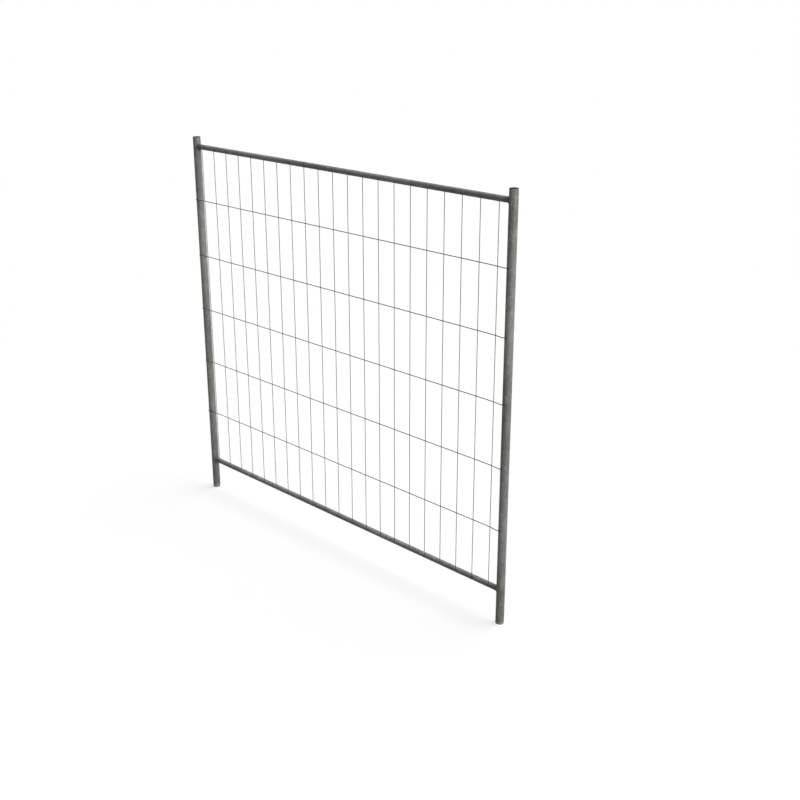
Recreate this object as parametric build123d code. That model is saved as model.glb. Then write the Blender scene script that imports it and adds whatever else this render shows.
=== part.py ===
from build123d import *
from math import cos, pi, sin, sqrt
import os

# Temporary fence panel: two upright tubes, two rails coped and welded between them,
# and a sheet of welded wires held against the front of the frame.
# Millimetres. The origin is the middle of the left post's foot, +X runs along the panel
# to the right post, +Z is up, and the wires are on the -Y side.

# Posts
POST_SPACING = 2154.0
POST_HEIGHT = 2000.0
POST_DIAMETER = 40.0
POST_WALL = 1.5

# The sawn ends of the posts are filed, inside and out
END_CHAMFER = 0.3

# Rails, placed by their axes
RAIL_DIAMETER = 26.9
RAIL_WALL = 1.5
TOP_RAIL_DROP = 50.0
BOTTOM_RAIL_HEIGHT = 171.0

# Weld beads between the rails and the posts: how far a bead reaches over each tube,
# and the straight runs and the sides that its round form is made of
WELD_REACH = 3.5
WELD_RUNS = 24
WELD_SIDES = 12

# Upright wires, spaced from the middle of the panel, no nearer a post's axis than the margin
UPRIGHT_WIRE = 3.0
UPRIGHT_PITCH = 101.5
UPRIGHT_MARGIN = 55.0
UPRIGHT_OVERLAP = 3.0

# Cross wires, spaced down from the first, no nearer the bottom rail's axis than the margin
CROSS_WIRE = 4.0
CROSS_PITCH = 299.5
TOP_CROSS_DROP = 278.1
CROSS_MARGIN = 150.0
CROSS_OVERLAP = 9.0

# How deep two crossing wires are pressed into each other, and how deep at the outermost
# upright wires, where the cross wires have begun to step out to the posts
CROSS_SET_DOWN = 1.25
EDGE_SET_DOWN = 0.3

# The step of a cross wire out to the front of a post: it starts this far inwards of the
# outermost upright wire, ends this far from the post's side, and has bends of this radius
STEP_RUN_IN = 48.0
STEP_SEAT = 10.0
STEP_RADIUS = 80.0

# A wire's section has this many sides, and its flats are as far apart as its diameter
WIRE_SIDES = 8

STANDING = (Align.CENTER, Align.CENTER, Align.MIN)

post_radius = POST_DIAMETER / 2
rail_radius = RAIL_DIAMETER / 2
upright_radius = UPRIGHT_WIRE / 2
cross_radius = CROSS_WIRE / 2

# Heights of the rails' axes
top_rail_z = POST_HEIGHT - TOP_RAIL_DROP
bottom_rail_z = BOTTOM_RAIL_HEIGHT

# Depths of the wires' centres in front of the plane of the post axes
upright_depth = rail_radius + upright_radius
touching = upright_radius + cross_radius
cross_depth = upright_depth + touching - CROSS_SET_DOWN
edge_depth = upright_depth + touching - EDGE_SET_DOWN
post_depth = post_radius + cross_radius

# Places of the upright wires along the panel
upright_room = POST_SPACING - 2 * UPRIGHT_MARGIN
upright_gaps = int(upright_room / UPRIGHT_PITCH)
first_upright_x = (POST_SPACING - upright_gaps * UPRIGHT_PITCH) / 2
upright_xs = [first_upright_x + UPRIGHT_PITCH * n for n in range(upright_gaps + 1)]

# Heights of the cross wires
first_cross_z = top_rail_z - TOP_CROSS_DROP
cross_room = first_cross_z - bottom_rail_z - CROSS_MARGIN
cross_gaps = int(cross_room / CROSS_PITCH)
cross_zs = [first_cross_z - CROSS_PITCH * n for n in range(cross_gaps + 1)]


def tube(radius, wall, length):
    """A straight tube standing on the origin."""
    return Cylinder(radius, length, align=STANDING) - Cylinder(radius - wall, length, align=STANDING)


def post(x):
    """An upright tube, open at both sawn ends, with filed edges."""
    sawn = tube(post_radius, POST_WALL, POST_HEIGHT)
    rims = sawn.edges().filter_by(GeomType.CIRCLE)
    return Pos(x, 0, 0) * chamfer(rims, END_CHAMFER)


def post_outline(x):
    """The post as a solid bar, which copes the rail ends."""
    return Pos(x, 0, 0) * Cylinder(post_radius, POST_HEIGHT, align=STANDING)


def rail(z):
    """A tube from post to post, coped at each end to sit on the post's round face."""
    blank = Pos(0, 0, z) * Rot(0, 90, 0) * tube(rail_radius, RAIL_WALL, POST_SPACING)
    return blank - post_outline(0) - post_outline(POST_SPACING)


def saddle_point(angle):
    """A point where a rail along +X meets its post, by its angle round the rail."""
    y = rail_radius * sin(angle)
    return Vector(sqrt(post_radius**2 - y**2), y, rail_radius * cos(angle))


def corner_weld():
    """A round bead that follows the saddle between a post and a rail along +X."""
    corners = [saddle_point(2 * pi * n / WELD_RUNS) for n in range(WELD_RUNS)]
    middle_of_last_run = (corners[0] + corners[-1]) * 0.5
    path = Polyline(middle_of_last_run, *corners, middle_of_last_run)
    start = Plane(origin=middle_of_last_run, z_dir=corners[0] - middle_of_last_run)
    ring = sweep(start * RegularPolygon(WELD_REACH, WELD_SIDES), path=path, transition=Transition.RIGHT)
    reach = post_radius + rail_radius + WELD_REACH
    ring -= Cylinder(post_radius, 2 * reach)
    ring -= Rot(0, 90, 0) * Cylinder(rail_radius, reach, align=STANDING)
    return ring


def wire_section(radius):
    """A wire's many-sided section, with a flat towards the frame."""
    return RegularPolygon(radius, WIRE_SIDES, major_radius=False, rotation=180 / WIRE_SIDES)


def upright_wire(x):
    """A straight wire that lies on the front of both rails."""
    low = bottom_rail_z - UPRIGHT_OVERLAP
    high = top_rail_z + UPRIGHT_OVERLAP
    return Pos(x, -upright_depth, low) * extrude(wire_section(upright_radius), high - low)


def cross_wire(z):
    """A wire that steps out at both ends, to lie on the front of both posts."""
    half = [
        (-CROSS_OVERLAP, -post_depth),
        (post_radius + STEP_SEAT, -post_depth),
        (first_upright_x, -edge_depth),
        (first_upright_x + STEP_RUN_IN, -cross_depth),
    ]
    other_half = [(POST_SPACING - x, y) for x, y in reversed(half)]
    points = [Vector(x, y, z) for x, y in half + other_half]
    path = FilletPolyline(*points, radius=STEP_RADIUS)
    start = Plane(origin=points[0], x_dir=(0, 1, 0), z_dir=(1, 0, 0))
    return sweep(start * wire_section(cross_radius), path=path)


def wire_mesh():
    """All the wires, fused into one sheet where they cross."""
    wires = [cross_wire(z) for z in cross_zs] + [upright_wire(x) for x in upright_xs]
    return wires[0].fuse(*wires[1:])


left_corner = Rot(0, 0, 0)
right_corner = Pos(POST_SPACING, 0, 0) * Rot(0, 0, 180)

pieces = {
    "left_post": post(0),
    "right_post": post(POST_SPACING),
    "top_rail": rail(top_rail_z),
    "bottom_rail": rail(bottom_rail_z),
    "top_left_weld": Pos(0, 0, top_rail_z) * left_corner * corner_weld(),
    "top_right_weld": Pos(0, 0, top_rail_z) * right_corner * corner_weld(),
    "bottom_left_weld": Pos(0, 0, bottom_rail_z) * left_corner * corner_weld(),
    "bottom_right_weld": Pos(0, 0, bottom_rail_z) * right_corner * corner_weld(),
    "wire_mesh": wire_mesh(),
}

os.makedirs("parts", exist_ok=True)
for name, piece in pieces.items():
    export_step(piece, f"parts/{name}.step")
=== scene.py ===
"""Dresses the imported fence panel: zinc-coated tubes, welded round wires and rippled weld beads."""
from math import cos, exp, pi, radians, sin, sqrt, tau

import bmesh
import bpy
from mathutils import Matrix, Vector


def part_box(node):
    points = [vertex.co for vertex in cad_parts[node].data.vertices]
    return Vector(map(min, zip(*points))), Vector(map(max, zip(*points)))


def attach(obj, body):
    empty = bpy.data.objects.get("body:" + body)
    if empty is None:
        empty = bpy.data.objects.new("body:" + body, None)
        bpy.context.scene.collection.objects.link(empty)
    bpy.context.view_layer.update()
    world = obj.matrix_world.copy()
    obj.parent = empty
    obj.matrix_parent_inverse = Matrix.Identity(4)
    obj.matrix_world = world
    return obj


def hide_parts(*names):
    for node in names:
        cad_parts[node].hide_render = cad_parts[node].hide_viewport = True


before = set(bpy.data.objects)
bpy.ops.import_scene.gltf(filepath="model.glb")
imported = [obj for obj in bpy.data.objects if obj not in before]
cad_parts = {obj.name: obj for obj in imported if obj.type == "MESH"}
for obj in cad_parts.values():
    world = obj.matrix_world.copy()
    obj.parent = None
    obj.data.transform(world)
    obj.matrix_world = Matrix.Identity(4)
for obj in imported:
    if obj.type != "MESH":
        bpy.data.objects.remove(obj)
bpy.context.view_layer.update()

bl_info = {
    "name": "Fence Panel",
    "version": (1, 0, 0),
    "blender": (4, 5, 0),
    "location": "3D View > Sidebar > Fence",
    "description": "Makes a welded wire fence panel with round posts and rails",
    "category": "Object",
}

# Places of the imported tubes, in metres
left_low, left_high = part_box("left_post")
right_low, right_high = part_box("right_post")
top_low, top_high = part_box("top_rail")
bottom_low, bottom_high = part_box("bottom_rail")

POST_RADIUS = (left_high.x - left_low.x) / 2
POST_HEIGHT = left_high.z
POST_SPACING = (right_low.x + right_high.x) / 2
RAIL_RADIUS = (top_high.z - top_low.z) / 2
TOP_RAIL_Z = (top_low.z + top_high.z) / 2
BOTTOM_RAIL_Z = (bottom_low.z + bottom_high.z) / 2

BODY = "root"

# How finely the round and rippled shapes are made
RIM_STEPS = 3
BEND_STEPS = 6
SADDLE_RUNS = 96
BEAD_SIDES = 20
STEPS_PER_RIPPLE = 7
FLOOR_SIDES = 128

# Edges that turn by more than this stay crisp
SHARP_ANGLE = radians(38)


class TubeSettings(bpy.types.PropertyGroup):
    """Walls and ends of the posts and rails"""

    wall: bpy.props.FloatProperty(
        name="Wall", description="Thickness of the tube walls", default=0.0015, unit="LENGTH")
    rim: bpy.props.FloatProperty(
        name="Rim Rounding", description="Radius of the filed edges at the open ends", default=0.0003,
        unit="LENGTH")
    seam: bpy.props.FloatProperty(
        name="Seam Height", description="Height of the mill's weld seam inside the bore", default=0.0005,
        unit="LENGTH")
    sides: bpy.props.IntProperty(
        name="Sides", description="Faces round each tube", default=96, min=12)


class WireSettings(bpy.types.PropertyGroup):
    """Sizes and places of the wires"""

    upright_diameter: bpy.props.FloatProperty(
        name="Upright Diameter", description="Thickness of the upright wires", default=0.003, unit="LENGTH")
    upright_pitch: bpy.props.FloatProperty(
        name="Upright Pitch", description="Distance between upright wires", default=0.1015, unit="LENGTH")
    upright_count: bpy.props.IntProperty(
        name="Upright Count", description="How many upright wires there are", default=21, min=1)
    upright_overlap: bpy.props.FloatProperty(
        name="Upright Overlap", description="How far an upright wire runs past a rail's axis", default=0.003,
        unit="LENGTH")
    cross_diameter: bpy.props.FloatProperty(
        name="Cross Diameter", description="Thickness of the cross wires", default=0.004, unit="LENGTH")
    cross_pitch: bpy.props.FloatProperty(
        name="Cross Pitch", description="Distance between cross wires", default=0.2995, unit="LENGTH")
    cross_count: bpy.props.IntProperty(
        name="Cross Count", description="How many cross wires there are", default=5, min=1)
    cross_drop: bpy.props.FloatProperty(
        name="First Drop", description="From the top rail's axis down to the first cross wire",
        default=0.2781, unit="LENGTH")
    cross_overlap: bpy.props.FloatProperty(
        name="Cross Overlap", description="How far a cross wire runs past a post's axis", default=0.009,
        unit="LENGTH")
    set_down: bpy.props.FloatProperty(
        name="Set Down", description="How deep crossing wires are pressed into each other",
        default=0.00125, unit="LENGTH")
    edge_set_down: bpy.props.FloatProperty(
        name="Edge Set Down", description="The same at the outermost upright wires", default=0.0003,
        unit="LENGTH")
    step_seat: bpy.props.FloatProperty(
        name="Step Seat", description="From a post's side to the end of the step onto it", default=0.010,
        unit="LENGTH")
    step_run_in: bpy.props.FloatProperty(
        name="Step Run-in", description="From the outermost upright wire in to the start of the step",
        default=0.048, unit="LENGTH")
    bend_radius: bpy.props.FloatProperty(
        name="Bend Radius", description="Radius of the bends in the step", default=0.080, unit="LENGTH")
    end_ease: bpy.props.FloatProperty(
        name="End Easing", description="How far from its cut end a wire starts to narrow", default=0.0005,
        unit="LENGTH")
    end_share: bpy.props.FloatProperty(
        name="End Share", description="Width of a wire's cut end as a share of its diameter", default=0.7)
    sides: bpy.props.IntProperty(
        name="Sides", description="Faces round each wire", default=16, min=6)


class WeldSettings(bpy.types.PropertyGroup):
    """Sizes of the welds"""

    bead_radius: bpy.props.FloatProperty(
        name="Bead Radius", description="How far a corner bead reaches over each tube", default=0.0035,
        unit="LENGTH")
    ripples: bpy.props.IntProperty(
        name="Ripples", description="How many ripples a corner bead has", default=42, min=1)
    ripple_height: bpy.props.FloatProperty(
        name="Ripple Height", description="Depth of the valleys between ripples", default=0.0007,
        unit="LENGTH")
    ripple_slant: bpy.props.FloatProperty(
        name="Ripple Slant", description="How far a ripple leans across the bead, in ripples", default=0.35)
    unevenness: bpy.props.FloatProperty(
        name="Unevenness", description="How far a bead wanders from its round form", default=0.0007,
        unit="LENGTH")
    tack_size: bpy.props.FloatProperty(
        name="Tack Size", description="Reach of the small welds where wires cross", default=0.0030,
        unit="LENGTH")
    tack_unevenness: bpy.props.FloatProperty(
        name="Tack Unevenness", description="How far a small weld wanders from its round form",
        default=0.0010, unit="LENGTH")


class FinishSettings(bpy.types.PropertyGroup):
    """Colours of the zinc and the welds, with painted shade for the rails, the corner joints and the posts'
    bores
    """

    post_dull: bpy.props.FloatVectorProperty(
        name="Dull Post", description="Colour of the dull patches on the posts", subtype="COLOR", size=4,
        default=(0.095, 0.096, 0.090, 1.0), min=0.0, max=1.0)
    post_bright: bpy.props.FloatVectorProperty(
        name="Bright Post", description="Colour of the bright patches on the posts", subtype="COLOR", size=4,
        default=(0.250, 0.251, 0.240, 1.0), min=0.0, max=1.0)
    # Painted shade: the rail colours are the post colours made about 14% darker, standing in for the shade
    # the rails lie in, and a little less warm.
    shaded_rail_dull: bpy.props.FloatVectorProperty(
        name="Dull Rail", description="Colour of the dull patches on the rails", subtype="COLOR", size=4,
        default=(0.082, 0.083, 0.081, 1.0), min=0.0, max=1.0)
    shaded_rail_bright: bpy.props.FloatVectorProperty(
        name="Bright Rail", description="Colour of the bright patches on the rails", subtype="COLOR", size=4,
        default=(0.215, 0.217, 0.213, 1.0), min=0.0, max=1.0)
    # Painted shade: the near-black bore colour stands in for the shadow inside the posts.
    bore: bpy.props.FloatVectorProperty(
        name="Bore", description="Colour of the walls inside the posts", subtype="COLOR", size=4,
        default=(0.030, 0.029, 0.028, 1.0), min=0.0, max=1.0)
    zinc_bloom: bpy.props.FloatVectorProperty(
        name="Zinc Bloom", description="Colour of the pale oxide and the rubbed ends", subtype="COLOR",
        size=4, default=(0.33, 0.335, 0.33, 1.0), min=0.0, max=1.0)
    wire_colour: bpy.props.FloatVectorProperty(
        name="Wire", description="Colour of the drawn wire", subtype="COLOR", size=4,
        default=(0.100, 0.100, 0.097, 1.0), min=0.0, max=1.0)
    weld_colour: bpy.props.FloatVectorProperty(
        name="Weld", description="Colour of the weld metal", subtype="COLOR", size=4,
        default=(0.060, 0.058, 0.054, 1.0), min=0.0, max=1.0)
    # Partly painted shade: this colour darkens the zinc at the corner joints, as heat tint and as the shade
    # where rail meets post; it also colours the random stains.
    heat_stain_and_shade: bpy.props.FloatVectorProperty(
        name="Heat Stain and Shade", description="Colour of the zinc close to a corner weld", subtype="COLOR",
        size=4, default=(0.078, 0.076, 0.071, 1.0), min=0.0, max=1.0)


class StageSettings(bpy.types.PropertyGroup):
    """Floor, lamps, sky and camera"""

    floor_radius: bpy.props.FloatProperty(
        name="Floor Radius", description="Radius of the round floor", default=40.0, unit="LENGTH")
    floor_colour: bpy.props.FloatVectorProperty(
        name="Floor", description="Colour of the floor", subtype="COLOR", size=4,
        default=(0.17, 0.17, 0.17, 1.0), min=0.0, max=1.0)
    floor_bounce: bpy.props.FloatVectorProperty(
        name="Floor Bounce", description="Colour that the floor throws back on the panel", subtype="COLOR",
        size=4, default=(0.13, 0.13, 0.13, 1.0), min=0.0, max=1.0)
    floor_glow: bpy.props.FloatProperty(
        name="Floor Glow", description="Brightness of the floor in its own shadows", default=0.71)
    fade_start: bpy.props.FloatProperty(
        name="Fade Start", description="Distance from the panel's middle where the floor starts to whiten",
        default=2.5, unit="LENGTH")
    fade_end: bpy.props.FloatProperty(
        name="Fade End", description="Distance from the panel's middle where the floor is white",
        default=5.0, unit="LENGTH")
    sky_light: bpy.props.FloatProperty(
        name="Sky Light", description="Strength of the even light from all round", default=0.05)
    back_light: bpy.props.FloatProperty(
        name="Back Light", description="Strength of the high soft light from behind the panel", default=5.1)
    side_light: bpy.props.FloatProperty(
        name="Side Light", description="Strength of the low soft light past the right post", default=2.1)
    front_light: bpy.props.FloatProperty(
        name="Front Light", description="Strength of the low soft light in front of the right post",
        default=1.05)
    camera_place: bpy.props.FloatVectorProperty(
        name="Camera Place", description="Where the camera stands", subtype="TRANSLATION", unit="LENGTH",
        default=(5.18188, -3.67785, 2.83866))
    camera_pan: bpy.props.FloatProperty(
        name="Camera Pan", description="Turn of the camera from the panel's depth direction",
        subtype="ANGLE", default=radians(44.99))
    camera_tilt: bpy.props.FloatProperty(
        name="Camera Tilt", description="How far the camera looks down", subtype="ANGLE",
        default=radians(20.221))
    camera_lens: bpy.props.FloatProperty(
        name="Camera Lens", description="Focal length on a 36 mm sensor, in millimetres", default=53.046)


# Node trees

def add(tree, kind, feeds=None, **settings):
    """A new node. Each feed is a plain value or the output of another node."""
    node = tree.nodes.new(kind)
    for key, value in settings.items():
        setattr(node, key, value)
    for key, feed in (feeds or {}).items():
        if isinstance(feed, bpy.types.NodeSocket):
            tree.links.new(feed, node.inputs[key])
        else:
            node.inputs[key].default_value = feed
    return node


def reckon(tree, operation, a, b=0.0, c=0.0, clamp=False):
    """The result of a sum on up to three numbers."""
    return add(tree, "ShaderNodeMath", {0: a, 1: b, 2: c}, operation=operation, use_clamp=clamp).outputs[0]


def spread(tree, value, low, high, to_low=0.0, to_high=1.0):
    """A value stretched smoothly from one range to another, and held inside it."""
    feeds = {"Value": value, "From Min": low, "From Max": high, "To Min": to_low, "To Max": to_high}
    return add(tree, "ShaderNodeMapRange", feeds, interpolation_type="SMOOTHSTEP").outputs["Result"]


def noise(tree, place, scale, detail=2.0, distortion=0.0):
    """Cloudy noise at so many features to the metre."""
    feeds = {"Vector": place, "Scale": scale, "Detail": detail, "Distortion": distortion}
    return add(tree, "ShaderNodeTexNoise", feeds).outputs[0]


def blend_colours(tree, share, first, second):
    """One colour turned into another by a share from 0 to 1."""
    return add(tree, "ShaderNodeMix", {0: share, 6: first, 7: second}, data_type="RGBA").outputs[2]


def shaded(colour, factor):
    """A colour made darker or lighter by a factor, as opaque as before."""
    return [factor * channel for channel in colour[:3]] + [colour[3]]


# Finishes

def start_finish(name):
    """A new material with its tree, its shader and the object's own coordinates."""
    material = bpy.data.materials.new(name)
    material.use_nodes = True
    tree = material.node_tree
    place = add(tree, "ShaderNodeTexCoord").outputs["Object"]
    return material, tree, tree.nodes["Principled BSDF"], place


def stretched(tree, place, axis, scale):
    """Coordinates that draw a pattern out along one axis."""
    scales = [scale if letter == axis else 1.0 for letter in "XYZ"]
    return add(tree, "ShaderNodeMapping", {"Vector": place, "Scale": scales}).outputs[0]


def bump(tree, shader, height, strength, depth, normal=None):
    """Gives a shader fine bumps of that depth, on the given normal or else the surface's own."""
    feeds = {"Strength": strength, "Distance": depth, "Height": height}
    if normal is not None:
        feeds["Normal"] = normal
    tree.links.new(add(tree, "ShaderNodeBump", feeds).outputs["Normal"], shader.inputs["Normal"])


def joint_heat_and_shade(tree, place):
    """How strongly a point is darkened near the nearest corner weld, most of it on the rail: partly heat
    tint and partly painted shade where the rail meets the post.
    """
    strength = 0.55
    shift_into_rail = 0.008
    raggedness = 0.020
    full_at, gone_at = 0.024, 0.046
    centre = POST_RADIUS + shift_into_rail
    nearest = None
    for z in (TOP_RAIL_Z, BOTTOM_RAIL_Z):
        for x in (centre, POST_SPACING - centre):
            gap = add(tree, "ShaderNodeVectorMath", {0: place, 1: (x, 0.0, z)}, operation="DISTANCE")
            away = gap.outputs["Value"]
            nearest = away if nearest is None else reckon(tree, "MINIMUM", nearest, away)
    ragged = reckon(tree, "MULTIPLY_ADD", noise(tree, place, 90.0, detail=3.0), raggedness, nearest)
    return spread(tree, ragged, full_at, gone_at, strength, 0.0)


def rubbed_foot(tree, place):
    """How strongly a point is rubbed pale: most at the floor, up to a torn line."""
    strength = 0.55
    raggedness = 0.020
    full_at, gone_at = 0.018, 0.030
    height = add(tree, "ShaderNodeSeparateXYZ", {0: place}).outputs["Z"]
    torn = reckon(tree, "MULTIPLY_ADD", noise(tree, place, 160.0, detail=3.0), raggedness, height)
    return spread(tree, torn, full_at, gone_at, strength, 0.0)


def bore_shade(tree, place, wall):
    """Where shade is painted inside the posts: 1 on the walls of the posts' bores, fading to 0 across the
    sawn rims.
    """
    where = add(tree, "ShaderNodeSeparateXYZ", {0: place}).outputs
    from_left = reckon(tree, "ABSOLUTE", where["X"])
    from_right = reckon(tree, "ABSOLUTE", reckon(tree, "SUBTRACT", where["X"], POST_SPACING))
    nearest = reckon(tree, "MINIMUM", from_left, from_right)
    flat = add(tree, "ShaderNodeCombineXYZ", {"X": nearest, "Y": where["Y"]}).outputs[0]
    from_axis = add(tree, "ShaderNodeVectorMath", {0: flat}, operation="LENGTH").outputs["Value"]
    return spread(tree, from_axis, POST_RADIUS - wall, POST_RADIUS - wall / 2, 1.0, 0.0)


def crystals(tree, place, scale):
    """Frosty zinc crystals: a random shade for each, and the way that its face leans."""
    feather_fineness = 2.5
    feather_reach = 0.6
    grey = (0.5, 0.5, 0.5)
    feeds = {"Vector": place, "Scale": feather_fineness * scale, "Detail": 2.0}
    sway = add(tree, "ShaderNodeTexNoise", feeds).outputs["Color"]
    centred = add(tree, "ShaderNodeVectorMath", {0: sway, 1: grey}, operation="SUBTRACT").outputs[0]
    feeds = {0: centred, "Scale": feather_reach / scale}
    shift = add(tree, "ShaderNodeVectorMath", feeds, operation="SCALE").outputs[0]
    feathered = add(tree, "ShaderNodeVectorMath", {0: place, 1: shift}, operation="ADD").outputs[0]
    cells = add(tree, "ShaderNodeTexVoronoi", {"Vector": feathered, "Scale": scale}).outputs["Color"]
    shade = add(tree, "ShaderNodeSeparateColor", {0: cells}).outputs[0]
    lean = add(tree, "ShaderNodeVectorMath", {0: cells, 1: grey}, operation="SUBTRACT").outputs[0]
    return shade, lean


def slow_swell(tree, place, axis, length, crest):
    """A slow wave from 0 to 1 along one axis, of that length, with a crest at that place."""
    where = add(tree, "ShaderNodeSeparateXYZ", {0: place}).outputs[axis]
    turns = reckon(tree, "MULTIPLY", reckon(tree, "SUBTRACT", where, crest), tau / length)
    return reckon(tree, "MULTIPLY_ADD", reckon(tree, "COSINE", turns), 0.5, 0.5)


def leaning_normal(tree, lean, amount):
    """The surface's normal, leaned by a vector."""
    normal = add(tree, "ShaderNodeNewGeometry").outputs["Normal"]
    feeds = {0: lean, 1: (amount, amount, amount), 2: normal}
    leaned = add(tree, "ShaderNodeVectorMath", feeds, operation="MULTIPLY_ADD").outputs[0]
    return add(tree, "ShaderNodeVectorMath", {0: leaned}, operation="NORMALIZE").outputs[0]


def zinc_tone(tree, place, along, along_axis, large, small):
    """How bright the zinc is, from 0 to 1: clouds, drifts, a slow swell, crystals and speckle."""
    clouds = spread(tree, noise(tree, along, 34.0, detail=5.0, distortion=0.6), 0.33, 0.67)
    drifts = spread(tree, noise(tree, along, 9.0), 0.35, 0.65)
    swell = slow_swell(tree, place, along_axis, length=0.92, crest=0.51)
    speckle = spread(tree, noise(tree, place, 900.0), 0.35, 0.65, -0.10, 0.10)
    tone = 0.0
    for layer, share in ((clouds, 0.26), (drifts, 0.10), (swell, 0.32), (large, 0.20), (small, 0.12)):
        tone = reckon(tree, "MULTIPLY_ADD", layer, share, tone)
    return reckon(tree, "ADD", tone, speckle, clamp=True)


def zinc_tube_finish(name, along_axis, dull, bright, look, wall):
    """Weathered zinc on a tube, from dull to bright, with its marks laid over it one by one; among them are
    painted shade at the corner joints and inside the posts' bores.
    """
    material, tree, shader, place = start_finish(name)
    along = stretched(tree, place, along_axis, 0.5)
    drawn = stretched(tree, place, along_axis, 0.03)
    large, lean = crystals(tree, place, 110.0)
    small, _ = crystals(tree, place, 380.0)
    bloom = spread(tree, noise(tree, along, 70.0, detail=6.0, distortion=1.0), 0.56, 0.72, 0.0, 0.55)
    scratches = spread(tree, noise(tree, drawn, 700.0, distortion=0.3), 0.64, 0.72, 0.0, 0.35)
    stains = spread(tree, noise(tree, along, 18.0, detail=6.0, distortion=1.5), 0.60, 0.76, 0.0, 0.7)
    marks = (
        (bloom, look.zinc_bloom),
        (scratches, look.zinc_bloom),
        (stains, look.heat_stain_and_shade),
        # Heat tint and painted shade at the corner joints
        (joint_heat_and_shade(tree, place), look.heat_stain_and_shade),
        (rubbed_foot(tree, place), look.zinc_bloom),
        # Painted shade inside the posts' bores
        (bore_shade(tree, place, wall), look.bore),
    )
    colour = blend_colours(tree, zinc_tone(tree, place, along, along_axis, large, small), dull, bright)
    for share, mark_colour in marks:
        colour = blend_colours(tree, share, colour, mark_colour)
    tree.links.new(colour, shader.inputs["Base Color"])

    shader.inputs["Metallic"].default_value = 0.2
    shader.inputs["Specular IOR Level"].default_value = 0.12
    grain = noise(tree, place, 1400.0, detail=3.0)
    rough = reckon(tree, "MULTIPLY_ADD", large, 0.5, grain)
    tree.links.new(spread(tree, rough, 0.3, 1.2, 0.42, 0.66), shader.inputs["Roughness"])
    raised = reckon(tree, "MULTIPLY_ADD", bloom, 0.8, grain)
    bump(tree, shader, raised, strength=0.5, depth=0.0002, normal=leaning_normal(tree, lean, 0.16))
    return material


def zinc_wire_finish(look):
    """Zinc on drawn wire: even, with small dull and bright lengths."""
    material, tree, shader, place = start_finish("zinc_wire")
    clouds = spread(tree, noise(tree, place, 60.0, detail=3.0), 0.35, 0.65, 0.0, 0.6)
    colour = blend_colours(tree, clouds, shaded(look.wire_colour, 0.8), look.wire_colour)
    bloom = spread(tree, noise(tree, place, 240.0, detail=4.0), 0.58, 0.70, 0.0, 0.4)
    colour = blend_colours(tree, bloom, colour, look.post_bright)
    tree.links.new(colour, shader.inputs["Base Color"])
    shader.inputs["Metallic"].default_value = 0.15
    shader.inputs["Specular IOR Level"].default_value = 0.12
    fine = noise(tree, place, 1500.0)
    tree.links.new(spread(tree, fine, 0.3, 0.7, 0.45, 0.62), shader.inputs["Roughness"])
    bump(tree, shader, fine, strength=0.25, depth=0.0001)
    return material


def weld_finish(look):
    """Weld metal: dark, rough and mottled."""
    material, tree, shader, place = start_finish("weld_metal")
    mottle = spread(tree, noise(tree, place, 420.0, detail=4.0), 0.35, 0.70)
    colour = blend_colours(tree, mottle, look.weld_colour, shaded(look.weld_colour, 2.0))
    tree.links.new(colour, shader.inputs["Base Color"])
    shader.inputs["Metallic"].default_value = 0.25
    shader.inputs["Specular IOR Level"].default_value = 0.3
    fine = noise(tree, place, 1800.0, detail=3.0)
    tree.links.new(spread(tree, fine, 0.3, 0.7, 0.55, 0.75), shader.inputs["Roughness"])
    bump(tree, shader, fine, strength=0.4, depth=0.00015)
    return material


def finish(name, make):
    """The material of that name, made the first time it is asked for."""
    return bpy.data.materials.get(name) or make()


# Meshes

def add_piece(name, mesh, material, slot, *nodes):
    """Puts a finished mesh in the scene as a piece of the panel."""
    piece = bpy.data.objects.new(name, mesh)
    bpy.context.scene.collection.objects.link(piece)
    mesh.materials.clear()
    mesh.materials.append(material)
    mesh.shade_smooth()
    mesh.set_sharp_from_angle(angle=SHARP_ANGLE)
    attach(piece, BODY)
    if nodes:
        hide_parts(*nodes)


def turned_mesh(name, profile, sides, place_point):
    """A closed shell from a closed profile of (radius, share or distance along), turned about its axis."""
    points = []
    for radius, along in profile:
        points.extend(place_point(radius, along, tau * n / sides) for n in range(sides))
    faces = []
    for ring in range(len(profile)):
        here = ring * sides
        there = (ring + 1) % len(profile) * sides
        for n in range(sides):
            after = (n + 1) % sides
            faces.append((here + n, here + after, there + after, there + n))
    mesh = bpy.data.meshes.new(name)
    mesh.from_pydata(points, [], faces)
    shell = bmesh.new()
    shell.from_mesh(mesh)
    bmesh.ops.recalc_face_normals(shell, faces=shell.faces)
    shell.to_mesh(mesh)
    shell.free()
    return mesh


def rounded_wall(outer, wall, height, rounding):
    """The closed profile of a standing tube's wall, rounded at its four corners."""
    inner = outer - wall
    centres = [
        (outer - rounding, height - rounding),
        (inner + rounding, height - rounding),
        (inner + rounding, rounding),
        (outer - rounding, rounding),
    ]
    profile = []
    for quarter, (radius, along) in enumerate(centres):
        for step in range(RIM_STEPS + 1):
            angle = pi / 2 * (quarter + step / RIM_STEPS)
            profile.append((radius + rounding * cos(angle), along + rounding * sin(angle)))
    return profile


def post_mesh(name, x, tubes):
    """An upright tube with filed rims and the mill's seam down the back of its bore."""
    seam_angle = pi / 2
    seam_spread = radians(4)
    middle_of_wall = POST_RADIUS - tubes.wall / 2

    def place_point(radius, along, angle):
        if radius < middle_of_wall:
            radius -= tubes.seam * exp(-((angle - seam_angle) / seam_spread) ** 2)
        return (x + radius * cos(angle), radius * sin(angle), along)

    profile = rounded_wall(POST_RADIUS, tubes.wall, POST_HEIGHT, tubes.rim)
    return turned_mesh(name, profile, tubes.sides, place_point)


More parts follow.
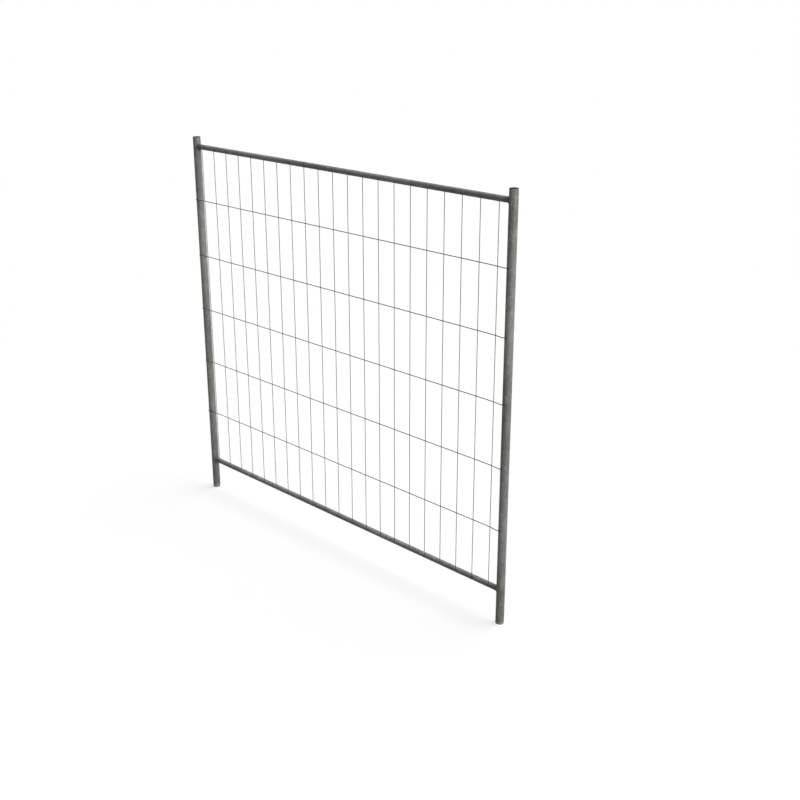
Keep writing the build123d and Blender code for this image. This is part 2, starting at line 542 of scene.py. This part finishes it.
def rail_mesh(name, z, tubes):
    """A rail whose two ends are coped to the round faces of the posts."""

    def place_point(radius, share, angle):
        y = radius * sin(angle)
        reach = sqrt(POST_RADIUS ** 2 - y ** 2)
        return (reach + (POST_SPACING - 2 * reach) * share, y, z + radius * cos(angle))

    inner = RAIL_RADIUS - tubes.wall
    profile = [(RAIL_RADIUS, 0.0), (RAIL_RADIUS, 1.0), (inner, 1.0), (inner, 0.0)]
    return turned_mesh(name, profile, tubes.sides, place_point)


# Geometry Nodes

def new_tree(name, inputs):
    """A Geometry Nodes tree that takes geometry and the named inputs."""
    tree = bpy.data.node_groups.new(name, "GeometryNodeTree")
    tree.interface.new_socket("Geometry", in_out="INPUT", socket_type="NodeSocketGeometry")
    for label, kind in inputs.items():
        tree.interface.new_socket(label, in_out="INPUT", socket_type="NodeSocket" + kind)
    tree.interface.new_socket("Geometry", in_out="OUTPUT", socket_type="NodeSocketGeometry")
    return tree, tree.nodes.new("NodeGroupInput").outputs


def end_tree(tree, geometry, material):
    """Ends a tree with plain, smooth geometry that has its material."""
    real = add(tree, "GeometryNodeRealizeInstances", {"Geometry": geometry})
    smooth = add(tree, "GeometryNodeSetShadeSmooth", {"Geometry": real.outputs["Geometry"]})
    feeds = {"Geometry": smooth.outputs["Geometry"], "Material": material}
    painted = add(tree, "GeometryNodeSetMaterial", feeds)
    add(tree, "NodeGroupOutput", {0: painted.outputs["Geometry"]})


def wires_tree():
    """Round wires with eased ends that follow a path and stand in a row."""
    tree, given = new_tree("Row of Wires", {
        "Diameter": "Float", "Sides": "Int", "Bend Radius": "Float", "Bend Steps": "Int",
        "End Share": "Float", "Count": "Int", "Spacing": "Vector", "Material": "Material"})
    path = add(tree, "GeometryNodeMeshToCurve", {"Mesh": given["Geometry"]}).outputs["Curve"]
    feeds = {
        "Curve": path, "Count": given["Bend Steps"], "Radius": given["Bend Radius"], "Limit Radius": True}
    bent = add(tree, "GeometryNodeFilletCurve", feeds, mode="POLY").outputs["Curve"]
    ends = add(tree, "GeometryNodeCurveEndpointSelection").outputs["Selection"]
    feeds = {"Switch": ends, "False": 1.0, "True": given["End Share"]}
    share = add(tree, "GeometryNodeSwitch", feeds, input_type="FLOAT").outputs["Output"]
    radius = reckon(tree, "MULTIPLY", given["Diameter"], 0.5)
    feeds = {"Resolution": given["Sides"], "Radius": radius}
    section = add(tree, "GeometryNodeCurvePrimitiveCircle", feeds)
    feeds = {"Curve": bent, "Profile Curve": section.outputs["Curve"], "Scale": share, "Fill Caps": True}
    wire = add(tree, "GeometryNodeCurveToMesh", feeds).outputs["Mesh"]
    row = add(tree, "GeometryNodeMeshLine", {"Count": given["Count"], "Offset": given["Spacing"]})
    feeds = {"Points": row.outputs["Mesh"], "Instance": wire}
    wires = add(tree, "GeometryNodeInstanceOnPoints", feeds).outputs["Instances"]
    end_tree(tree, wires, given["Material"])
    return tree


def tacks_tree():
    """Low uneven mounds of weld metal, one at each point."""
    tree, given = new_tree("Tack Welds", {
        "Size": "Vector", "Subdivisions": "Int", "Unevenness": "Float", "Seed": "Int",
        "Material": "Material"})
    feeds = {"Radius": 1.0, "Subdivisions": given["Subdivisions"]}
    drop = add(tree, "GeometryNodeMeshIcoSphere", feeds).outputs["Mesh"]
    feeds = {"Min": (0.85, 0.85, 0.85), "Max": (1.15, 1.15, 1.15), "Seed": given["Seed"]}
    chance = add(tree, "FunctionNodeRandomValue", feeds, data_type="FLOAT_VECTOR").outputs["Value"]
    size = add(tree, "ShaderNodeVectorMath", {0: given["Size"], 1: chance}, operation="MULTIPLY").outputs[0]
    feeds = {"Points": given["Geometry"], "Instance": drop, "Scale": size}
    drops = add(tree, "GeometryNodeInstanceOnPoints", feeds).outputs["Instances"]
    real = add(tree, "GeometryNodeRealizeInstances", {"Geometry": drops}).outputs["Geometry"]
    where = add(tree, "GeometryNodeInputPosition").outputs["Position"]
    lumps = reckon(tree, "SUBTRACT", noise(tree, where, 350.0, detail=1.0), 0.5)
    lift = reckon(tree, "MULTIPLY", lumps, given["Unevenness"])
    normal = add(tree, "GeometryNodeInputNormal").outputs["Normal"]
    push = add(tree, "ShaderNodeVectorMath", {0: normal, "Scale": lift}, operation="SCALE").outputs[0]
    uneven = add(tree, "GeometryNodeSetPosition", {"Geometry": real, "Offset": push}).outputs["Geometry"]
    end_tree(tree, uneven, given["Material"])
    return tree


def beads_tree():
    """A weld bead round a closed path, with slanted ripples and a slightly wandering thickness."""
    tree, given = new_tree("Rippled Bead", {
        "Radius": "Float", "Sides": "Int", "Ripples": "Int", "Steps": "Int", "Ripple Height": "Float",
        "Slant": "Float", "Unevenness": "Float", "Material": "Material"})
    path = add(tree, "GeometryNodeMeshToCurve", {"Mesh": given["Geometry"]}).outputs["Curve"]
    steps = reckon(tree, "MULTIPLY", given["Ripples"], given["Steps"])
    even = add(tree, "GeometryNodeResampleCurve", {"Curve": path, "Count": steps}).outputs["Curve"]
    share = add(tree, "GeometryNodeSplineParameter").outputs["Factor"]
    travelled = add(tree, "GeometryNodeCaptureAttribute", domain="POINT")
    travelled.capture_items.new("FLOAT", "Travelled")
    tree.links.new(even, travelled.inputs["Geometry"])
    tree.links.new(share, travelled.inputs["Travelled"])
    feeds = {"Resolution": given["Sides"], "Radius": given["Radius"]}
    ring = add(tree, "GeometryNodeCurvePrimitiveCircle", feeds)
    turned = add(tree, "GeometryNodeCaptureAttribute", domain="POINT")
    turned.capture_items.new("FLOAT", "Turned")
    tree.links.new(ring.outputs["Curve"], turned.inputs["Geometry"])
    tree.links.new(share, turned.inputs["Turned"])
    feeds = {"Curve": travelled.outputs["Geometry"], "Profile Curve": turned.outputs["Geometry"]}
    bead = add(tree, "GeometryNodeCurveToMesh", feeds).outputs["Mesh"]
    count = reckon(tree, "MULTIPLY", travelled.outputs["Travelled"], given["Ripples"])
    turn = reckon(tree, "MULTIPLY", turned.outputs["Turned"], tau)
    slant = reckon(tree, "MULTIPLY", reckon(tree, "COSINE", turn), given["Slant"])
    phase = reckon(tree, "MULTIPLY", reckon(tree, "ADD", count, slant), pi)
    crest = reckon(tree, "ABSOLUTE", reckon(tree, "SINE", phase))
    valley = reckon(tree, "MULTIPLY", reckon(tree, "SUBTRACT", crest, 1.0), given["Ripple Height"])
    where = add(tree, "GeometryNodeInputPosition").outputs["Position"]
    lumps = reckon(tree, "SUBTRACT", noise(tree, where, 160.0), 0.5)
    wander = reckon(tree, "MULTIPLY", lumps, given["Unevenness"])
    normal = add(tree, "GeometryNodeInputNormal").outputs["Normal"]
    lift = reckon(tree, "ADD", valley, wander)
    push = add(tree, "ShaderNodeVectorMath", {0: normal, "Scale": lift}, operation="SCALE").outputs[0]
    rippled = add(tree, "GeometryNodeSetPosition", {"Geometry": bead, "Offset": push}).outputs["Geometry"]
    end_tree(tree, rippled, given["Material"])
    return tree


def grown_mesh(name, seed_mesh, tree, values):
    """The plain mesh that a tree, with its named inputs set, makes of a seed mesh, which is used up."""
    maker = bpy.data.objects.new(name + "_maker", seed_mesh)
    bpy.context.scene.collection.objects.link(maker)
    modifier = maker.modifiers.new("shape", "NODES")
    modifier.node_group = tree
    for item in tree.interface.items_tree:
        if item.in_out == "INPUT" and item.name in values:
            modifier[item.identifier] = values[item.name]
    evaluated = maker.evaluated_get(bpy.context.evaluated_depsgraph_get())
    mesh = bpy.data.meshes.new_from_object(evaluated)
    mesh.name = name
    bpy.data.objects.remove(maker)
    bpy.data.meshes.remove(seed_mesh)
    return mesh


def path_mesh(name, points, closed=False):
    """Loose edges from point to point."""
    edges = [(n, n + 1) for n in range(len(points) - 1)]
    if closed:
        edges.append((len(points) - 1, 0))
    mesh = bpy.data.meshes.new(name)
    mesh.from_pydata(points, edges, [])
    return mesh


def eased_path(points, ease):
    """A path with one more point close to each end, where a wire's cut end starts to narrow."""
    first, second = Vector(points[0]), Vector(points[1])
    last, before_last = Vector(points[-1]), Vector(points[-2])
    near_first = first + (second - first).normalized() * ease
    near_last = last + (before_last - last).normalized() * ease
    return [first, near_first] + [Vector(point) for point in points[1:-1]] + [near_last, last]


# Places of the wires

def wire_places(wires):
    """Where the wires run: x of each upright wire, height of each cross wire, and their depths."""
    upright_depth = RAIL_RADIUS + wires.upright_diameter / 2
    touching = (wires.upright_diameter + wires.cross_diameter) / 2
    first_x = (POST_SPACING - wires.upright_pitch * (wires.upright_count - 1)) / 2
    highest_z = TOP_RAIL_Z - wires.cross_drop
    return {
        "upright_xs": [first_x + wires.upright_pitch * n for n in range(wires.upright_count)],
        "cross_zs": [highest_z - wires.cross_pitch * n for n in range(wires.cross_count)],
        "upright_depth": upright_depth,
        "cross_depth": upright_depth + touching - wires.set_down,
        "edge_depth": upright_depth + touching - wires.edge_set_down,
        "post_depth": POST_RADIUS + wires.cross_diameter / 2,
    }


class FENCE_OT_posts(bpy.types.Operator):
    """Makes the two upright tubes"""

    bl_idname = "fence.make_posts"
    bl_label = "Make Posts"

    def execute(self, context):
        tubes, look = context.scene.fence_tubes, context.scene.fence_finish
        colours = (look.post_dull, look.post_bright)
        zinc = finish("zinc_post", lambda: zinc_tube_finish("zinc_post", "Z", *colours, look, tubes.wall))
        for node, x in (("left_post", 0.0), ("right_post", POST_SPACING)):
            name = node + "_tube"
            add_piece(name, post_mesh(name, x, tubes), zinc, "galvanised_tube", node)
        return {"FINISHED"}


class FENCE_OT_rails(bpy.types.Operator):
    """Makes the two rails, coped to the posts"""

    bl_idname = "fence.make_rails"
    bl_label = "Make Rails"

    def execute(self, context):
        tubes, look = context.scene.fence_tubes, context.scene.fence_finish
        # The rails' darker colours paint shade on them
        colours = (look.shaded_rail_dull, look.shaded_rail_bright)
        zinc = finish("zinc_rail", lambda: zinc_tube_finish("zinc_rail", "X", *colours, look, tubes.wall))
        for node, z in (("top_rail", TOP_RAIL_Z), ("bottom_rail", BOTTOM_RAIL_Z)):
            name = node + "_tube"
            add_piece(name, rail_mesh(name, z, tubes), zinc, "galvanised_tube", node)
        return {"FINISHED"}


class FENCE_OT_wires(bpy.types.Operator):
    """Makes the upright wires and the cross wires"""

    bl_idname = "fence.make_wires"
    bl_label = "Make Wires"

    def execute(self, context):
        wires, look = context.scene.fence_wires, context.scene.fence_finish
        places = wire_places(wires)
        tree = wires_tree()
        zinc = finish("zinc_wire", lambda: zinc_wire_finish(look))
        shared = {"Sides": wires.sides, "Bend Steps": BEND_STEPS, "End Share": wires.end_share,
                  "Material": zinc}

        x = places["upright_xs"][0]
        depth = places["upright_depth"]
        low = BOTTOM_RAIL_Z - wires.upright_overlap
        high = TOP_RAIL_Z + wires.upright_overlap
        points = [(x, -depth, low), (x, -depth, high)]
        path = path_mesh("upright_path", eased_path(points, wires.end_ease))
        upright = {"Diameter": wires.upright_diameter, "Bend Radius": 0.0, "Count": wires.upright_count,
                   "Spacing": (wires.upright_pitch, 0.0, 0.0)}
        mesh = grown_mesh("upright_wires", path, tree, shared | upright)
        add_piece("upright_wires", mesh, zinc, "galvanised_wire", "wire_mesh")

        z = places["cross_zs"][0]
        half = [
            (-wires.cross_overlap, places["post_depth"]),
            (POST_RADIUS + wires.step_seat, places["post_depth"]),
            (x, places["edge_depth"]),
            (x + wires.step_run_in, places["cross_depth"]),
        ]
        whole = half + [(POST_SPACING - along, depth) for along, depth in reversed(half)]
        points = [(along, -depth, z) for along, depth in whole]
        path = path_mesh("cross_path", eased_path(points, wires.end_ease))
        cross = {"Diameter": wires.cross_diameter, "Bend Radius": wires.bend_radius,
                 "Count": wires.cross_count, "Spacing": (0.0, 0.0, -wires.cross_pitch)}
        mesh = grown_mesh("cross_wires", path, tree, shared | cross)
        add_piece("cross_wires", mesh, zinc, "galvanised_wire", "wire_mesh")
        return {"FINISHED"}


class FENCE_OT_tacks(bpy.types.Operator):
    """Makes the small welds that hold the wires to each other, to the rails and to the posts"""

    bl_idname = "fence.make_tacks"
    bl_label = "Make Tack Welds"

    def execute(self, context):
        wires, welds = context.scene.fence_wires, context.scene.fence_welds
        look = context.scene.fence_finish
        metal = finish("weld_metal", lambda: weld_finish(look))
        places = wire_places(wires)
        tree = tacks_tree()
        upright_xs, cross_zs = places["upright_xs"], places["cross_zs"]
        upright_front = places["upright_depth"] + wires.upright_diameter / 2
        crossings = [Vector((x, -upright_front, z)) for x in upright_xs for z in cross_zs]
        on_rails = [Vector((x, -RAIL_RADIUS, z)) for x in upright_xs for z in (TOP_RAIL_Z, BOTTOM_RAIL_Z)]
        on_posts = [Vector((x, -POST_RADIUS, z)) for x in (0.0, POST_SPACING) for z in cross_zs]
        # Each group has its places, its fineness and its reach along X, Y and Z in tack sizes
        groups = (
            ("crossing_tacks", crossings, 2, (0.95, 0.45, 0.95)),
            ("rail_tacks", on_rails, 3, (1.05, 0.55, 1.5)),
            ("post_tacks", on_posts, 3, (2.2, 0.6, 1.15)),
        )
        for seed, (name, points, subdivisions, shares) in enumerate(groups):
            reach = tuple(share * welds.tack_size for share in shares)
            values = {"Size": reach, "Subdivisions": subdivisions, "Unevenness": welds.tack_unevenness,
                      "Seed": seed, "Material": metal}
            mesh = grown_mesh(name, path_mesh(name + "_points", points), tree, values)
            add_piece(name, mesh, metal, "weld_bead")
        return {"FINISHED"}


def saddle_path(z):
    """The closed line where the left end of a rail meets its post."""
    points = []
    for n in range(SADDLE_RUNS):
        angle = tau * n / SADDLE_RUNS
        y = RAIL_RADIUS * sin(angle)
        points.append((sqrt(POST_RADIUS ** 2 - y ** 2), y, z + RAIL_RADIUS * cos(angle)))
    return points


def keep_in_walls(mesh, z, depth):
    """Moves the buried side of a left-hand bead out of the bores, to the middle of the tube walls."""
    for vertex in mesh.vertices:
        x, y, up = vertex.co.x, vertex.co.y, vertex.co.z - z
        from_rail = sqrt(y * y + up * up)
        if from_rail < RAIL_RADIUS - depth:
            y *= (RAIL_RADIUS - depth) / from_rail
            up *= (RAIL_RADIUS - depth) / from_rail
        from_post = sqrt(x * x + y * y)
        if from_post < POST_RADIUS - depth:
            x = sqrt((POST_RADIUS - depth) ** 2 - y * y)
        vertex.co = (x, y, up + z)


class FENCE_OT_corner_welds(bpy.types.Operator):
    """Makes the four weld beads between the rails and the posts"""

    bl_idname = "fence.make_corner_welds"
    bl_label = "Make Corner Welds"

    def execute(self, context):
        tubes, welds = context.scene.fence_tubes, context.scene.fence_welds
        look = context.scene.fence_finish
        metal = finish("weld_metal", lambda: weld_finish(look))
        tree = beads_tree()
        values = {"Radius": welds.bead_radius, "Sides": BEAD_SIDES, "Ripples": welds.ripples,
                  "Steps": STEPS_PER_RIPPLE, "Ripple Height": welds.ripple_height,
                  "Slant": welds.ripple_slant, "Unevenness": welds.unevenness, "Material": metal}
        for level, z in (("top", TOP_RAIL_Z), ("bottom", BOTTOM_RAIL_Z)):
            for side in ("left", "right"):
                node = f"{level}_{side}_weld"
                name = node + "_bead"
                path = path_mesh(name + "_path", saddle_path(z), closed=True)
                mesh = grown_mesh(name, path, tree, values)
                keep_in_walls(mesh, z, tubes.wall / 2)
                if side == "right":
                    half_turn = Matrix.Rotation(pi, 4, "Z")
                    mesh.transform(Matrix.Translation((POST_SPACING, 0.0, 0.0)) @ half_turn)
                add_piece(name, mesh, metal, "weld_bead", node)
        return {"FINISHED"}


# Stage

def seen_rays(tree):
    """1 for rays from the camera, a reflection or a clear material, 0 for the rest."""
    rays = add(tree, "ShaderNodeLightPath").outputs
    seen = reckon(tree, "ADD", rays["Is Camera Ray"], rays["Is Glossy Ray"])
    return reckon(tree, "ADD", seen, rays["Is Transmission Ray"], clamp=True)


def make_sky(stage):
    """An even white sky that lights the panel more weakly than it shows."""
    world = bpy.data.worlds.new("soft_sky")
    world.use_nodes = True
    tree = world.node_tree
    tree.nodes.clear()
    feeds = {"Value": seen_rays(tree), "To Min": stage.sky_light, "To Max": 1.0}
    strength = add(tree, "ShaderNodeMapRange", feeds).outputs["Result"]
    sky = add(tree, "ShaderNodeBackground", {"Color": (1.0, 1.0, 1.0, 1.0), "Strength": strength})
    add(tree, "ShaderNodeOutputWorld", {"Surface": sky.outputs["Background"]})
    bpy.context.scene.world = world


def floor_finish(stage):
    """Pale matt floor that keeps its shadows near the panel and turns plain white further out."""
    material = bpy.data.materials.new("pale_floor")
    material.use_nodes = True
    tree = material.node_tree
    tree.nodes.clear()
    seen = seen_rays(tree)
    colour = blend_colours(tree, seen, stage.floor_bounce, stage.floor_colour)
    matt = add(tree, "ShaderNodeBsdfDiffuse", {"Color": colour}).outputs[0]
    glow_strength = reckon(tree, "MULTIPLY", seen, stage.floor_glow)
    glow = add(tree, "ShaderNodeEmission", {"Strength": glow_strength}).outputs[0]
    near = add(tree, "ShaderNodeAddShader", {0: matt, 1: glow}).outputs[0]
    place = add(tree, "ShaderNodeTexCoord").outputs["Object"]
    centre = (POST_SPACING / 2, 0.0, 0.0)
    away = add(tree, "ShaderNodeVectorMath", {0: place, 1: centre}, operation="DISTANCE").outputs["Value"]
    faded = reckon(tree, "MULTIPLY", spread(tree, away, stage.fade_start, stage.fade_end), seen)
    white = add(tree, "ShaderNodeEmission", {"Strength": 1.0}).outputs[0]
    surface = add(tree, "ShaderNodeMixShader", {0: faded, 1: near, 2: white}).outputs[0]
    add(tree, "ShaderNodeOutputMaterial", {"Surface": surface})
    return material


def make_floor(stage):
    """A wide round floor under the feet."""
    disc = bmesh.new()
    bmesh.ops.create_circle(disc, cap_ends=True, radius=stage.floor_radius, segments=FLOOR_SIDES)
    bmesh.ops.translate(disc, verts=disc.verts, vec=(POST_SPACING / 2, 0.0, 0.0))
    mesh = bpy.data.meshes.new("floor")
    disc.to_mesh(mesh)
    disc.free()
    mesh.materials.append(floor_finish(stage))
    floor = bpy.data.objects.new("floor", mesh)
    bpy.context.scene.collection.objects.link(floor)


def make_lamp(name, azimuth, elevation, softness, strength):
    """A soft sun. Its angles are in degrees, and azimuth turns from +X towards +Y to where it stands."""
    data = bpy.data.lights.new(name, "SUN")
    data.energy = strength
    data.angle = radians(softness)
    lamp = bpy.data.objects.new(name, data)
    bpy.context.scene.collection.objects.link(lamp)
    turn, lift = radians(azimuth), radians(elevation)
    source = Vector((cos(turn) * cos(lift), sin(turn) * cos(lift), sin(lift)))
    lamp.rotation_euler = source.to_track_quat("Z", "Y").to_euler()


def make_camera(stage):
    """The camera, placed in front of the panel and past the right post."""
    data = bpy.data.cameras.new("camera")
    data.sensor_width = 36.0
    data.lens = stage.camera_lens
    camera = bpy.data.objects.new("camera", data)
    bpy.context.scene.collection.objects.link(camera)
    pan, tilt = stage.camera_pan, stage.camera_tilt
    forward = Vector((-sin(pan) * cos(tilt), cos(pan) * cos(tilt), -sin(tilt)))
    right = forward.cross(Vector((0.0, 0.0, 1.0))).normalized()
    up = right.cross(forward)
    turn = Matrix((right, up, -forward)).transposed().to_4x4()
    camera.matrix_world = Matrix.Translation(stage.camera_place) @ turn
    bpy.context.scene.camera = camera


class FENCE_OT_stage(bpy.types.Operator):
    """Makes the floor, the sky, the lamps and the camera"""

    bl_idname = "fence.make_stage"
    bl_label = "Make Stage"

    def execute(self, context):
        stage = context.scene.fence_stage
        context.scene.view_settings.view_transform = "Standard"
        make_sky(stage)
        make_floor(stage)
        make_lamp("back_light", azimuth=60.0, elevation=65.0, softness=40.0, strength=stage.back_light)
        make_lamp("side_light", azimuth=0.0, elevation=12.0, softness=50.0, strength=stage.side_light)
        make_lamp("front_light", azimuth=-20.0, elevation=20.0, softness=50.0, strength=stage.front_light)
        make_camera(stage)
        return {"FINISHED"}


class FENCE_PT_panel(bpy.types.Panel):
    """Lists the panel's sizes and colours and makes its pieces"""

    bl_idname = "FENCE_PT_panel"
    bl_label = "Fence Panel"
    bl_space_type = "VIEW_3D"
    bl_region_type = "UI"
    bl_category = "Fence"

    def draw(self, context):
        scene = context.scene
        groups = (
            ("Tubes", scene.fence_tubes, ("fence.make_posts", "fence.make_rails")),
            ("Wires", scene.fence_wires, ("fence.make_wires",)),
            ("Welds", scene.fence_welds, ("fence.make_tacks", "fence.make_corner_welds")),
            ("Finish", scene.fence_finish, ()),
            ("Stage", scene.fence_stage, ("fence.make_stage",)),
        )
        for heading, settings, buttons in groups:
            box = self.layout.box()
            box.label(text=heading)
            for name in settings.__annotations__:
                box.prop(settings, name)
            for button in buttons:
                box.operator(button)


SETTINGS = {
    "fence_tubes": TubeSettings,
    "fence_wires": WireSettings,
    "fence_welds": WeldSettings,
    "fence_finish": FinishSettings,
    "fence_stage": StageSettings,
}
OPERATORS = (
    FENCE_OT_stage,
    FENCE_OT_posts,
    FENCE_OT_rails,
    FENCE_OT_wires,
    FENCE_OT_tacks,
    FENCE_OT_corner_welds,
)


def register():
    for name, group in SETTINGS.items():
        bpy.utils.register_class(group)
        setattr(bpy.types.Scene, name, bpy.props.PointerProperty(type=group))
    for operator in OPERATORS:
        bpy.utils.register_class(operator)
    bpy.utils.register_class(FENCE_PT_panel)


def unregister():
    bpy.utils.unregister_class(FENCE_PT_panel)
    for operator in reversed(OPERATORS):
        bpy.utils.unregister_class(operator)
    for name, group in reversed(SETTINGS.items()):
        delattr(bpy.types.Scene, name)
        bpy.utils.unregister_class(group)


def main():
    """Makes the whole panel on its stage."""
    register()
    bpy.ops.fence.make_stage()
    bpy.ops.fence.make_posts()
    bpy.ops.fence.make_rails()
    bpy.ops.fence.make_wires()
    bpy.ops.fence.make_tacks()
    bpy.ops.fence.make_corner_welds()


if __name__ == "__main__":
    main()
